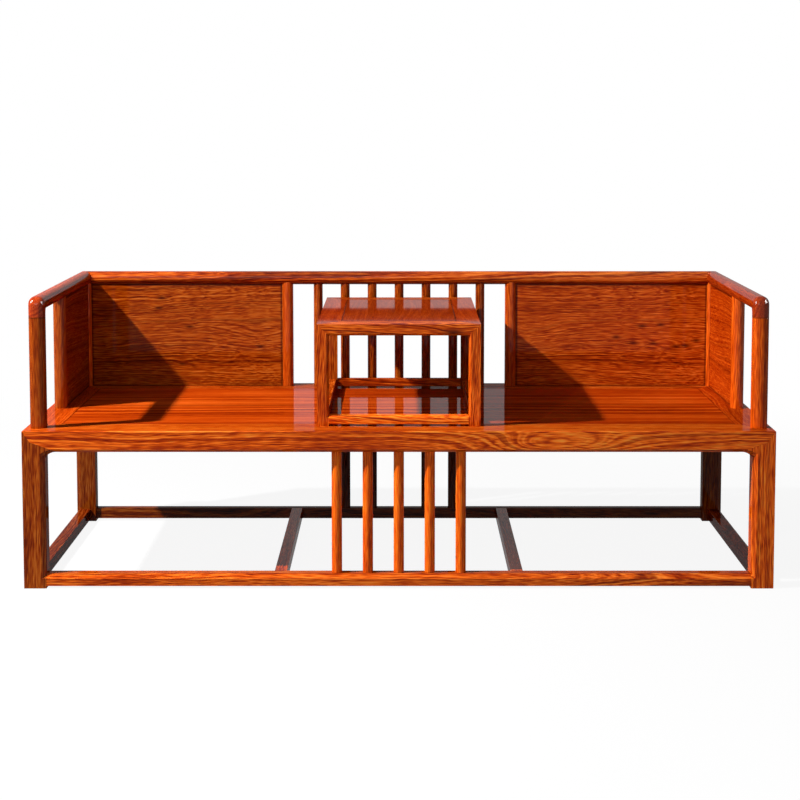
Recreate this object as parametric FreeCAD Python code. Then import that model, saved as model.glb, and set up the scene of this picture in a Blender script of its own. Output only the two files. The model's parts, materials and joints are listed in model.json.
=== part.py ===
import FreeCAD, Part
import math
import os

# A luohan daybed with its kang table, in hardwood joined by mortise and tenon.
# Lengths are in millimetres. X runs along the bed, Y from its open front to its back, Z up from the
# floor. The origin is on the floor under the middle of the bed.

# Bed: overall sizes
bed_width = 2000.0
bed_depth = 930.0
seat_height = 425.0
back_height = 778.0

# Bed: base and seat frame
bed_leg_width = 60.0
bed_leg_depth = 55.0
bed_foot_height = 7.0
seat_rail_height = 58.0
seat_front_rail_width = 120.0
seat_side_rail_width = 87.0
bed_bevel = 12.0
bed_bevel_rise = 8.0
bed_stretcher_height = 32.0
bed_stretcher_depth = 43.0
bed_stretcher_tenon = 18.0
cross_stretcher_width = 33.0
cross_stretcher_offset = 317.0
cross_stretcher_tenon = 16.0

# Bed: leg head, where three timbers meet at each corner
bed_joint_kink_in = 21.0
bed_joint_kink_down = 30.0
bed_wing_reach = 97.0
bed_wing_thickness = 28.0
bed_corner_reach = 28.0
bed_corner_drop = 16.0
bed_head_tenon_cover = 20.0
bed_corner_tenon = 18.0

# Bed: seat panel and its battens
seat_panel_thickness = 16.0
seat_panel_lip = 4.0
seat_panel_tongue = 6.0
seat_tongue_length = 9.0
batten_count = 5
batten_width = 40.0
batten_height = 28.0
batten_dovetail_neck = 20.0
batten_dovetail_head = 26.0
batten_dovetail_depth = 5.0
batten_tenon_length = 12.0

# Spindles, all turned to one size
spindle_diameter = 27.5
spindle_pitch = 82.8
spindle_tenon_size = 13.0
spindle_tenon_length = 14.0
lower_spindle_count = 5
back_spindle_count = 7

# Back and arms
hand_rail_width = 44.0
hand_rail_height = 40.0
hand_rail_round = 19.0
post_size = 44.0
post_round = 19.0
mid_post_size = 36.0
mid_post_round = 16.5
post_tenon_size = 18.0
post_tenon_length = 16.0
post_tenon_rise = 12.0
arm_inset = 14.0
arm_front_setback = 40.0
arm_mid_setback = 397.0
back_inset = 27.0
back_mid_post_offset = 343.0
elbow_height = 55.0
elbow_outer_round = 24.0
elbow_inner_round = 9.0
rail_mitre_tenon = 12.0
rail_mitre_tenon_reach = 14.0
rail_mitre_tenon_rise_share = 2 / 3
side_panel_thickness = 10.0
side_panel_tongue = 8.0
side_panel_forward = 6.0

# Kang table, which stands between the front edge and the back spindles
table_width = 440.0
table_height = 276.0
table_setback = 80.0
table_back_gap = 24.0
table_depth = bed_depth - table_setback - table_back_gap - back_inset - (post_size + spindle_diameter) / 2
table_leg_size = 32.0
table_foot_height = 5.5
table_rail_height = 31.0
table_end_rail_width = 75.0
table_side_rail_width = 63.0
table_bevel = 6.0
table_stretcher_height = 24.0
table_stretcher_depth = 28.0
table_stretcher_tenon = 9.0
table_head_tenon_cover = 9.0
table_corner_tenon = 9.0
table_panel_thickness = 12.0
table_panel_lip = 3.5
table_panel_tongue = 4.5
table_tongue_length = 7.0
table_batten_width = 30.0
table_batten_height = 14.0
table_dovetail_neck = 15.0
table_dovetail_head = 19.0
table_dovetail_depth = 3.0
table_batten_tenon_length = 9.0

# Fits that every joint uses
fit_clearance = 0.2
end_clearance = 1.0
panel_gap = 0.8
joint_wall = 4.0
cut_overrun = 5.0

# Where the two tenons stand on a leg's head, as shares of the leg's width and depth from its outer corner
front_tenon_shares = ((0.60, 0.85), (0.36, 0.62))
side_tenon_shares = ((0.20, 0.40), (0.66, 0.90))
mitre_overrun_share = 0.1


def vector(x, y, z):
    return FreeCAD.Vector(x, y, z)


def box(x_span, y_span, z_span):
    """A block between two values along each axis."""
    corner = vector(x_span[0], y_span[0], z_span[0])
    return Part.makeBox(x_span[1] - x_span[0], y_span[1] - y_span[0], z_span[1] - z_span[0], corner)


def grown(span, by):
    return (span[0] - by, span[1] + by)


def plan_prism(points, z_span):
    """A prism that stands on an outline drawn in plan."""
    corners = [vector(x, y, z_span[0]) for x, y in points]
    face = Part.Face(Part.makePolygon(corners + corners[:1]))
    return face.extrude(vector(0, 0, z_span[1] - z_span[0]))


def front_prism(points, y_span):
    """A prism whose outline is drawn as seen from the front."""
    corners = [vector(x, y_span[0], z) for x, z in points]
    face = Part.Face(Part.makePolygon(corners + corners[:1]))
    return face.extrude(vector(0, y_span[1] - y_span[0], 0))


def rounded_bar(x_span, y_span, z_span, axis, radius):
    """A bar of rounded rectangular section, whose four edges along the axis are rounded."""
    bar = box(x_span, y_span, z_span)
    along = []
    for edge in bar.Edges:
        run = edge.Vertexes[-1].Point - edge.Vertexes[0].Point
        if run.normalize().isEqual(axis, Part.Precision.confusion()) or \
                (-run).isEqual(axis, Part.Precision.confusion()):
            along.append(edge)
    return bar.makeFillet(radius, along)


def joined(shapes):
    return shapes[0].multiFuse(shapes[1:]).removeSplitter()


def mirrored_x(shape):
    return shape.mirror(vector(0, 0, 0), vector(1, 0, 0))


def mirrored_y(shape):
    return shape.mirror(vector(0, 0, 0), vector(0, 1, 0))


def moved(shape, x, y, z):
    copy = shape.copy()
    copy.translate(vector(x, y, z))
    return copy


def turned_quarter(shape):
    """The shape turned about Z so that its front face becomes its left face."""
    copy = shape.copy()
    copy.rotate(vector(0, 0, 0), vector(0, 0, 1), -math.degrees(math.pi / 2))
    return copy


class FlushFrame:
    """A flat frame on four legs that are flush with it, tied by stretchers at the base.

    Both the bed and the table are built this way. The frame is centred on the origin in plan and stands
    on Z = 0. Each piece is made at the front or the left and mirrored to its twin.
    """

    def __init__(self, sizes):
        self.__dict__.update(sizes)
        self.half_width = self.width / 2
        self.half_depth = self.depth / 2
        self.rail_bottom = self.height - self.rail_height
        self.stretcher_top = self.foot_height + self.stretcher_height

    def joint_points(self, leg_size):
        """The joint line on an outer face, inwards and down from the frame's outer top corner."""
        if self.wing_reach > leg_size:
            return [(0, 0), (self.kink_in, self.kink_down), (self.wing_reach, self.rail_height)]
        return [(0, 0), (leg_size, self.rail_height)]

    def wing(self, leg_size, half_span, half_other):
        """The head of the leg on the front face, with the wing that runs out under the rail."""
        left = -half_span
        inner = left + leg_size
        low = self.rail_bottom - self.corner_drop
        tip = left + self.wing_reach
        curve = corner_arc(inner, low, inner + self.corner_reach, self.rail_bottom)
        y = -half_other
        straight = [(inner + self.corner_reach, self.rail_bottom), (tip, self.rail_bottom),
                    (tip, self.height), (left, self.height), (left, low), (inner, low)]
        edges = [curve_edge(curve, y)] + line_edges(straight, y)
        return Part.Face(Part.Wire(edges)).extrude(vector(0, self.wing_thickness, 0))

    def above_joint(self, leg_size, half_span, half_other):
        """All that lies above the joint line of the front face, from front to back of the leg's head."""
        left = -half_span
        points = [(left + inwards, self.height - down) for inwards, down in self.joint_points(leg_size)]
        last = points[-1][0] + cut_overrun
        top = self.height + cut_overrun
        outline = points + [(last, points[-1][1]), (last, top), (left - cut_overrun, top),
                            (left - cut_overrun, self.height)]
        reach = max(self.wing_reach, self.leg_width, self.leg_depth) + cut_overrun
        return front_prism(outline, (-half_other - cut_overrun, -half_other + reach))

    def leg_blank(self):
        """The front left leg with its head shaped, before bevels, tenons and mortises."""
        column = box((-self.half_width, -self.half_width + self.leg_width),
                     (-self.half_depth, -self.half_depth + self.leg_depth), (0, self.height))
        blank = column
        if self.wing_reach > self.leg_width:
            front_wing = self.wing(self.leg_width, self.half_width, self.half_depth)
            side_wing = mirrored_y(turned_quarter(self.wing(self.leg_depth, self.half_depth,
                                                            self.half_width)))
            blank = joined([column, front_wing, side_wing])
        over_front = self.above_joint(self.leg_width, self.half_width, self.half_depth)
        over_side = mirrored_y(turned_quarter(self.above_joint(self.leg_depth, self.half_depth,
                                                               self.half_width)))
        return blank.cut([over_front, over_side])

    def head_tenons(self, clearance, end):
        """The two hidden tenons on the leg's head, one up into each rail, or their mortises."""
        tenons = []
        for x_shares, y_shares in (front_tenon_shares, side_tenon_shares):
            x_span = [-self.half_width + share * self.leg_width for share in x_shares]
            y_span = [-self.half_depth + share * self.leg_depth for share in y_shares]
            top = self.height - self.head_tenon_cover
            tenons.append(box(grown(x_span, clearance), grown(y_span, clearance),
                              (self.rail_bottom - joint_wall, top + end)))
        return tenons

    def stretcher_tenon_sections(self):
        """The span across the face and the span in height of every stretcher tenon."""
        across = (self.bevel + joint_wall / 2, self.bevel + joint_wall / 2 + self.stretcher_tenon)
        upright = (self.foot_height + joint_wall, self.stretcher_top - self.bevel)
        return across, upright

    def front_stretcher_tenon(self, clearance, end):
        across, upright = self.stretcher_tenon_sections()
        start = -self.half_width + across[1] + joint_wall / 2
        root = -self.half_width + self.leg_width + joint_wall
        y_span = (-self.half_depth + across[0], -self.half_depth + across[1])
        return box((start - end, root), grown(y_span, clearance), grown(upright, clearance))

    def side_stretcher_tenon(self, clearance, end):
        across, upright = self.stretcher_tenon_sections()
        start = -self.half_depth + across[1] + joint_wall / 2
        root = -self.half_depth + self.leg_depth + joint_wall
        x_span = (-self.half_width + across[0], -self.half_width + across[1])
        return box(grown(x_span, clearance), (start - end, root), grown(upright, clearance))

    def opening_outline(self, half_span, leg_size, grow, rise, y):
        """The edges of the opening between two legs, grown outwards, at one depth."""
        side = half_span - leg_size + grow
        low = self.stretcher_top - grow
        top = self.rail_bottom + rise
        if not self.corner_reach:
            return line_edges([(-side, top), (-side, low), (side, low), (side, top), (-side, top)], y)
        curve_x = half_span - leg_size - self.corner_reach
        shoulder = self.rail_bottom - self.corner_drop + grow
        sides = line_edges([(-side, shoulder), (-side, low), (side, low), (side, shoulder)], y)
        right = curve_edge(corner_arc(side, shoulder, curve_x, top), y)
        across = line_edges([(curve_x, top), (-curve_x, top)], y)
        left = curve_edge(corner_arc(-side, shoulder, -curve_x, top), y)
        return sides + [right] + across + [left]

    def opening_bevel(self, half_span, half_other, leg_size):
        """The bevel that runs round the whole opening of the front face, mitred at its corners."""
        face = -half_other
        outer = self.opening_outline(half_span, leg_size, self.bevel, self.bevel_rise, face)
        inner = self.opening_outline(half_span, leg_size, 0, 0, face + self.bevel)
        slopes = [slope_between(a, b) for a, b in zip(outer, inner)]
        ends = [Part.Face(Part.Wire(Part.__sortEdges__(edges))) for edges in (outer, inner)]
        return Part.makeSolid(Part.makeShell(slopes + ends))

    def bevels(self):
        """The bevel cutters of the front and rear, and of the left and right."""
        front = self.opening_bevel(self.half_width, self.half_depth, self.leg_width)
        left = turned_quarter(self.opening_bevel(self.half_depth, self.half_width, self.leg_depth))
        return [front, mirrored_y(front), left, mirrored_x(left)]

    def leg(self):
        body = joined([self.leg_blank()] + self.head_tenons(0, 0))
        front, rear, left, right = self.bevels()
        sockets = [self.front_stretcher_tenon(fit_clearance, end_clearance),
                   self.side_stretcher_tenon(fit_clearance, end_clearance)]
        return body.cut([front, left] + sockets)

    def legs(self):
        """All four legs, by corner."""
        corner = self.leg()
        return {"front_left": corner, "front_right": mirrored_x(corner),
                "rear_left": mirrored_y(corner), "rear_right": mirrored_x(mirrored_y(corner))}

    def mitre_waste(self, keep_front):
        """The waste beyond the mitre at the front left corner, on the side rail's or front rail's side."""
        run_x = self.side_rail_width
        run_y = self.front_rail_width
        low = -mitre_overrun_share
        high = 1 + mitre_overrun_share
        start = (-self.half_width + low * run_x, -self.half_depth + low * run_y)
        end = (-self.half_width + high * run_x, -self.half_depth + high * run_y)
        third = (start[0], end[1]) if keep_front else (end[0], start[1])
        return plan_prism([start, end, third], grown((self.rail_bottom, self.height), cut_overrun))

    def corner_tenon(self, clearance, end):
        """The tenon on the end of a side rail that enters the front rail behind the leg."""
        x_span = (-self.half_width + self.leg_width + joint_wall,
                  -self.half_width + self.side_rail_width - self.tongue_length - joint_wall)
        y_span = (-self.half_depth + self.leg_depth + joint_wall - end,
                  -self.half_depth + self.front_rail_width)
        middle = self.height - self.rail_height / 2
        z_span = (middle - self.corner_tenon_height / 2, middle + self.corner_tenon_height / 2)
        return box(grown(x_span, clearance), y_span, grown(z_span, clearance))

    def panel_seat(self, clearance):
        """The flat slab that the panel's tongue fills, from groove to groove."""
        reach = self.tongue_length + clearance
        x_half = self.half_width - self.side_rail_width + reach
        y_half = self.half_depth - self.front_rail_width + reach
        top = self.height - self.panel_lip
        z_span = (top - self.panel_tongue, top)
        margin = fit_clearance if clearance else 0
        return box((-x_half, x_half), (-y_half, y_half), grown(z_span, margin))

    def corner_waste(self):
        """Leg heads and head mortises, which every rail is cut around."""
        waste = [self.leg_blank()] + self.head_tenons(fit_clearance, end_clearance)
        waste += [mirrored_x(shape) for shape in waste]
        return waste

    def front_rail(self):
        blank = box((-self.half_width, self.half_width),
                    (-self.half_depth, -self.half_depth + self.front_rail_width),
                    (self.rail_bottom, self.height))
        beyond = self.mitre_waste(True)
        socket = self.corner_tenon(fit_clearance, end_clearance)
        waste = [beyond, mirrored_x(beyond), socket, mirrored_x(socket), self.panel_seat(end_clearance)]
        body = blank.cut(waste)
        body = body.cut(self.corner_waste())
        return body.cut(self.bevels()[0])

    def side_rail(self):
        blank = box((-self.half_width, -self.half_width + self.side_rail_width),
                    (-self.half_depth, self.half_depth), (self.rail_bottom, self.height))
        beyond = self.mitre_waste(False)
        body = blank.cut([beyond, mirrored_y(beyond), self.panel_seat(end_clearance)])
        front_tenon = self.corner_tenon(0, 0)
        body = joined([body, front_tenon, mirrored_y(front_tenon)])
        heads = [self.leg_blank()] + self.head_tenons(fit_clearance, end_clearance)
        heads += [mirrored_y(shape) for shape in heads]
        body = body.cut(heads)
        return body.cut(self.bevels()[2])

    def panel(self):
        """The flush panel, whose tongue runs in the rails' grooves."""
        x_half = self.half_width - self.side_rail_width - panel_gap
        y_half = self.half_depth - self.front_rail_width - panel_gap
        board = box((-x_half, x_half), (-y_half, y_half),
                    (self.height - self.panel_thickness, self.height))
        return joined([board, self.panel_seat(0)])

    def batten(self, along_y):
        """One batten across the panel's back, held by its dovetail and by a tenon at each end."""
        top = self.height - self.panel_thickness
        if along_y:
            half = self.half_depth - self.front_rail_width
        else:
            half = self.half_width - self.side_rail_width
        bar = box((-self.batten_width / 2, self.batten_width / 2), (-half, half),
                  (top - self.batten_height, top))
        stub_half = half + self.batten_tenon_length
        stub = box((-self.dovetail_neck / 2, self.dovetail_neck / 2), (-stub_half, stub_half),
                   (top - self.batten_height + joint_wall, top - joint_wall))
        ridge = self.dovetail(half, 0)
        shape = joined([bar, stub, ridge])
        return shape if along_y else turned_quarter(shape)

    def dovetail(self, half, clearance):
        """The dovetail ridge of a batten, or the groove for it in the panel."""
        top = self.height - self.panel_thickness
        neck = self.dovetail_neck / 2 + clearance
        head = self.dovetail_head / 2 + clearance
        peak = top + self.dovetail_depth + clearance
        low = top - (joint_wall / 2 if not clearance else clearance)
        return front_prism([(-neck, low), (neck, low), (neck, top), (head, peak), (-head, peak),
                            (-neck, top)], (-half, half))

    def batten_socket(self, along_y):
        """The space that a batten's tenons take in the rails."""
        top = self.height - self.panel_thickness
        half = self.half_depth - self.front_rail_width if along_y else self.half_width - self.side_rail_width
        reach = half + self.batten_tenon_length + end_clearance
        neck = self.dovetail_neck / 2 + fit_clearance
        z_span = grown((top - self.batten_height + joint_wall, top - joint_wall), fit_clearance)
        shape = box((-neck, neck), (-reach, reach), z_span)
        return shape if along_y else turned_quarter(shape)

    def front_stretcher(self):
        bar = box((-self.half_width + self.leg_width, self.half_width - self.leg_width),
                  (-self.half_depth, -self.half_depth + self.stretcher_depth),
                  (self.foot_height, self.stretcher_top))
        tenon = self.front_stretcher_tenon(0, 0)
        return joined([bar, tenon, mirrored_x(tenon)]).cut(self.bevels()[0])

    def side_stretcher(self):
        bar = box((-self.half_width, -self.half_width + self.stretcher_depth),
                  (-self.half_depth + self.leg_depth, self.half_depth - self.leg_depth),
                  (self.foot_height, self.stretcher_top))
        tenon = self.side_stretcher_tenon(0, 0)
        return joined([bar, tenon, mirrored_y(tenon)]).cut(self.bevels()[2])


def corner_arc(start_x, start_z, end_x, end_z):
    """Three points of an arc that ends level at its upper end."""
    run = end_x - start_x
    rise = end_z - start_z
    radius = (run * run + rise * rise) / (2 * rise)
    half_turn = math.atan2(rise, abs(run))
    middle_x = end_x - math.copysign(radius * math.sin(half_turn), run)
    middle_z = end_z - radius + radius * math.cos(half_turn)
    return [(start_x, start_z), (middle_x, middle_z), (end_x, end_z)]


def slope_between(outer, inner):
    """The sloping face between an edge of a bevel's outer outline and the same edge of its inner one."""
    ends = [edge.valueAt(parameter) for edge, parameter in (
        (outer, outer.FirstParameter), (outer, outer.LastParameter),
        (inner, inner.LastParameter), (inner, inner.FirstParameter))]
    if isinstance(outer.Curve, Part.Line):
        return Part.Face(Part.makePolygon(ends + ends[:1]))
    return Part.makeRuledSurface(outer, inner)


def curve_edge(points, y):
    return Part.Arc(*[vector(x, y, z) for x, z in points]).toShape()


def line_edges(points, y):
    corners = [vector(x, y, z) for x, z in points]
    return [Part.LineSegment(a, b).toShape() for a, b in zip(corners, corners[1:])]


bed = FlushFrame(dict(
    width=bed_width, depth=bed_depth, height=seat_height, leg_width=bed_leg_width,
    leg_depth=bed_leg_depth, foot_height=bed_foot_height, rail_height=seat_rail_height,
    front_rail_width=seat_front_rail_width, side_rail_width=seat_side_rail_width, bevel=bed_bevel,
    bevel_rise=bed_bevel_rise, kink_in=bed_joint_kink_in, kink_down=bed_joint_kink_down,
    wing_reach=bed_wing_reach, wing_thickness=bed_wing_thickness, corner_reach=bed_corner_reach,
    corner_drop=bed_corner_drop, head_tenon_cover=bed_head_tenon_cover,
    corner_tenon_height=bed_corner_tenon, stretcher_height=bed_stretcher_height,
    stretcher_depth=bed_stretcher_depth, stretcher_tenon=bed_stretcher_tenon,
    panel_thickness=seat_panel_thickness, panel_lip=seat_panel_lip, panel_tongue=seat_panel_tongue,
    tongue_length=seat_tongue_length, batten_width=batten_width, batten_height=batten_height,
    dovetail_neck=batten_dovetail_neck, dovetail_head=batten_dovetail_head,
    dovetail_depth=batten_dovetail_depth, batten_tenon_length=batten_tenon_length))

table = FlushFrame(dict(
    width=table_width, depth=table_depth, height=table_height, leg_width=table_leg_size,
    leg_depth=table_leg_size, foot_height=table_foot_height, rail_height=table_rail_height,
    front_rail_width=table_end_rail_width, side_rail_width=table_side_rail_width, bevel=table_bevel,
    bevel_rise=table_bevel, wing_reach=0, corner_reach=0, head_tenon_cover=table_head_tenon_cover,
    corner_tenon_height=table_corner_tenon, stretcher_height=table_stretcher_height,
    stretcher_depth=table_stretcher_depth, stretcher_tenon=table_stretcher_tenon,
    panel_thickness=table_panel_thickness, panel_lip=table_panel_lip, panel_tongue=table_panel_tongue,
    tongue_length=table_tongue_length, batten_width=table_batten_width,
    batten_height=table_batten_height, dovetail_neck=table_dovetail_neck,
    dovetail_head=table_dovetail_head, dovetail_depth=table_dovetail_depth,
    batten_tenon_length=table_batten_tenon_length))

# Places that the back, the arms and the spindles share
arm_x = -bed.half_width + arm_inset + post_size / 2
back_y = bed.half_depth - back_inset - post_size / 2
arm_front_y = -bed.half_depth + arm_front_setback + post_size / 2
arm_mid_y = -bed.half_depth + arm_mid_setback + mid_post_size / 2
rail_under = back_height - hand_rail_height
elbow_under = back_height - elbow_height
front_spindle_y = -bed.half_depth + (bed.bevel + bed.stretcher_depth) / 2
along_x = vector(1, 0, 0)
along_z = vector(0, 0, 1)


def about(middle, size):
    return (middle - size / 2, middle + size / 2)


def post_tenon(x, y, clearance, end):
    """The square tenon below a post, or its mortise in the seat frame."""
    return box(about(x, post_tenon_size + 2 * clearance), about(y, post_tenon_size + 2 * clearance),
               (seat_height - post_tenon_length - end, seat_height + joint_wall))


def post_top_tenon(x, y, shoulder, clearance, end):
    """The square tenon on top of a post, or its mortise in the rail above."""
    return box(about(x, post_tenon_size + 2 * clearance), about(y, post_tenon_size + 2 * clearance),
               (shoulder - joint_wall, shoulder + post_tenon_rise + end))


def spindle_rod(x, y, low, high):
    return Part.makeCylinder(spindle_diameter / 2, high - low, vector(x, y, low))


def spindle_pin(x, y, low, high, clearance, end):
    """The square tenons at both ends of a spindle in one length, or the mortises for them."""
    size = spindle_tenon_size + 2 * clearance
    return box(about(x, size), about(y, size), grown((low, high), spindle_tenon_length + end))


def spindle_places(count):
    return [(index - (count - 1) / 2) * spindle_pitch for index in range(count)]


def hand_rail_section(x_span, y_span, axis):
    return rounded_bar(x_span, y_span, (rail_under, back_height), axis, hand_rail_round)


def rail_corner_waste(toward_back):
    """The waste beyond the mitre where the left arm rail meets the back rail."""
    a = hand_rail_width
    line = [(arm_x + a, back_y - a), (arm_x - a, back_y + a)]
    third = (arm_x + a, back_y + a) if toward_back else (arm_x - a, back_y - a)
    return plan_prism(line + [third], grown((elbow_under, back_height), cut_overrun))


def rail_mitre_pin(clearance, end):
    """The hidden tenon across the mitre, on the arm rail."""
    middle = rail_under + hand_rail_height * rail_mitre_tenon_rise_share
    y_span = (back_y - rail_mitre_tenon_reach, back_y + rail_mitre_tenon_reach + end)
    return box(about(arm_x, rail_mitre_tenon + 2 * clearance), y_span,
               about(middle, rail_mitre_tenon + 2 * clearance))


def back_rail_bar():
    reach = -arm_x + hand_rail_width / 2
    return hand_rail_section((-reach, reach), about(back_y, hand_rail_width), along_x)


def arm_rail_bar():
    """The left arm rail and its turned-down elbow in one piece, before its mitre and sockets."""
    front = arm_front_y - hand_rail_width / 2
    heel = arm_front_y + hand_rail_width / 2
    end = back_y + hand_rail_width / 2
    outer = elbow_outer_round
    inner = elbow_inner_round
    lean = math.cos(math.pi / 4)
    outer_middle = (front + outer - outer * lean, back_height - outer + outer * lean)
    inner_middle = (heel + inner - inner * lean, rail_under - inner + inner * lean)

    def point(y, z):
        return vector(arm_x - hand_rail_width / 2, y, z)

    edges = [
        Part.LineSegment(point(front, elbow_under), point(front, back_height - outer)).toShape(),
        Part.Arc(point(front, back_height - outer), point(*outer_middle),
                 point(front + outer, back_height)).toShape(),
        Part.LineSegment(point(front + outer, back_height), point(end, back_height)).toShape(),
        Part.LineSegment(point(end, back_height), point(end, rail_under)).toShape(),
        Part.LineSegment(point(end, rail_under), point(heel + inner, rail_under)).toShape(),
        Part.Arc(point(heel + inner, rail_under), point(*inner_middle),
                 point(heel, rail_under - inner)).toShape(),
        Part.LineSegment(point(heel, rail_under - inner), point(heel, elbow_under)).toShape(),
        Part.LineSegment(point(heel, elbow_under), point(front, elbow_under)).toShape(),
    ]
    bar = Part.Face(Part.Wire(edges)).extrude(vector(hand_rail_width, 0, 0))
    nearly = fit_clearance
    rounded = []
    for edge in bar.Edges:
        middle = edge.valueAt((edge.FirstParameter + edge.LastParameter) / 2)
        on_side = abs(abs(middle.x - arm_x) - hand_rail_width / 2) < nearly
        at_end = middle.z < elbow_under + nearly or middle.y > end - nearly
        if on_side and not at_end:
            rounded.append(edge)
    return bar.makeFillet(hand_rail_round, rounded)


def side_panel_slab(clearance, end):
    """The left side panel, from groove to groove, a little nearer to the seat than the rail's middle."""
    y_span = (arm_mid_y + mid_post_size / 2 - side_panel_tongue, back_y - post_size / 2 + side_panel_tongue)
    z_span = (seat_height - side_panel_tongue, rail_under + side_panel_tongue)
    thickness = side_panel_thickness + 2 * clearance
    return box(about(arm_x + side_panel_forward, thickness), grown(y_span, end), grown(z_span, end))


def back_panel_slab(clearance, end):
    """The left back panel, from groove to groove, a little nearer to the seat than the rail's middle."""
    x_span = (arm_x + post_size / 2 - side_panel_tongue,
              -back_mid_post_offset - mid_post_size / 2 + side_panel_tongue)
    z_span = (seat_height - side_panel_tongue, rail_under + side_panel_tongue)
    thickness = side_panel_thickness + 2 * clearance
    return box(grown(x_span, end), about(back_y - side_panel_forward, thickness), grown(z_span, end))


pieces = {}


def keep(name, shape):
    pieces[name] = shape


def build_base():
    """Legs, stretchers and the spindles under the seat."""
    for corner, shape in bed.legs().items():
        keep(corner + "_leg", shape)

    spindle_low = bed.stretcher_top
    spindle_high = bed.rail_bottom
    places = spindle_places(lower_spindle_count)
    holes = [spindle_pin(x, front_spindle_y, spindle_low, spindle_high, fit_clearance, end_clearance)
             for x in places]

    bar_y = (-bed.half_depth + bed.stretcher_depth, bed.half_depth - bed.stretcher_depth)
    cross_z = (bed.foot_height, bed.stretcher_top)
    tenon_z = (bed.foot_height + joint_wall, bed.stretcher_top - joint_wall)
    cross = box(about(-cross_stretcher_offset, cross_stretcher_width), bar_y, cross_z)
    stub = box(about(-cross_stretcher_offset, cross_stretcher_tenon), grown(bar_y, cross_stretcher_tenon),
               tenon_z)
    socket = box(about(-cross_stretcher_offset, cross_stretcher_tenon + 2 * fit_clearance),
                 grown(bar_y, cross_stretcher_tenon + end_clearance), grown(tenon_z, fit_clearance))
    cross = joined([cross, stub])
    keep("left_cross_stretcher", cross)
    keep("right_cross_stretcher", mirrored_x(cross))

    front = bed.front_stretcher().cut([socket, mirrored_x(socket)] + holes)
    keep("front_stretcher", front)
    keep("rear_stretcher", mirrored_y(front))
    side = bed.side_stretcher()
    keep("left_stretcher", side)
    keep("right_stretcher", mirrored_x(side))

    spindles = []
    for x in places:
        rod = spindle_rod(x, front_spindle_y, spindle_low, spindle_high)
        pin = spindle_pin(x, front_spindle_y, spindle_low, spindle_high, 0, 0)
        spindles.append(joined([rod, pin]))
    for number, shape in enumerate(spindles, 1):
        keep("front_spindle_%d" % number, shape)
    keep("rear_spindles", Part.makeCompound([mirrored_y(shape) for shape in spindles]))
    return holes


def build_seat(spindle_holes):
    """The seat frame, its panel and the battens that keep the panel flat."""
    opening = bed.half_width - bed.side_rail_width
    batten_places = [-opening + 2 * opening * (index + 1) / (batten_count + 1)
                     for index in range(batten_count)]
    half = bed.half_depth - bed.front_rail_width
    battens = [moved(bed.batten(True), x, 0, 0) for x in batten_places]
    sockets = [moved(bed.batten_socket(True), x, 0, 0) for x in batten_places]
    grooves = [moved(bed.dovetail(half, fit_clearance), x, 0, 0) for x in batten_places]
    keep("seat_battens", Part.makeCompound(battens))
    keep("seat_panel", bed.panel().cut(grooves))

    front_holes = [post_tenon(arm_x, arm_front_y, fit_clearance, end_clearance)]
    front_holes.append(mirrored_x(front_holes[0]))
    front = bed.front_rail().cut(sockets + spindle_holes)
    keep("seat_front_rail", front.cut(front_holes))

    rear_holes = [post_tenon(arm_x, back_y, fit_clearance, end_clearance),
                  post_tenon(-back_mid_post_offset, back_y, fit_clearance, end_clearance),
                  back_panel_slab(fit_clearance, end_clearance)]
    rear_holes += [mirrored_x(shape) for shape in rear_holes]
    rear_holes += [spindle_pin(x, back_y, seat_height, rail_under, fit_clearance, end_clearance)
                   for x in spindle_places(back_spindle_count)]
    keep("seat_rear_rail", mirrored_y(front).cut(rear_holes))

    side_holes = [post_tenon(arm_x, y, fit_clearance, end_clearance)
                  for y in (arm_front_y, arm_mid_y, back_y)]
    side_holes.append(side_panel_slab(fit_clearance, end_clearance))
    side = bed.side_rail().cut(side_holes)
    keep("seat_left_rail", side)
    keep("seat_right_rail", mirrored_x(side))


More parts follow.
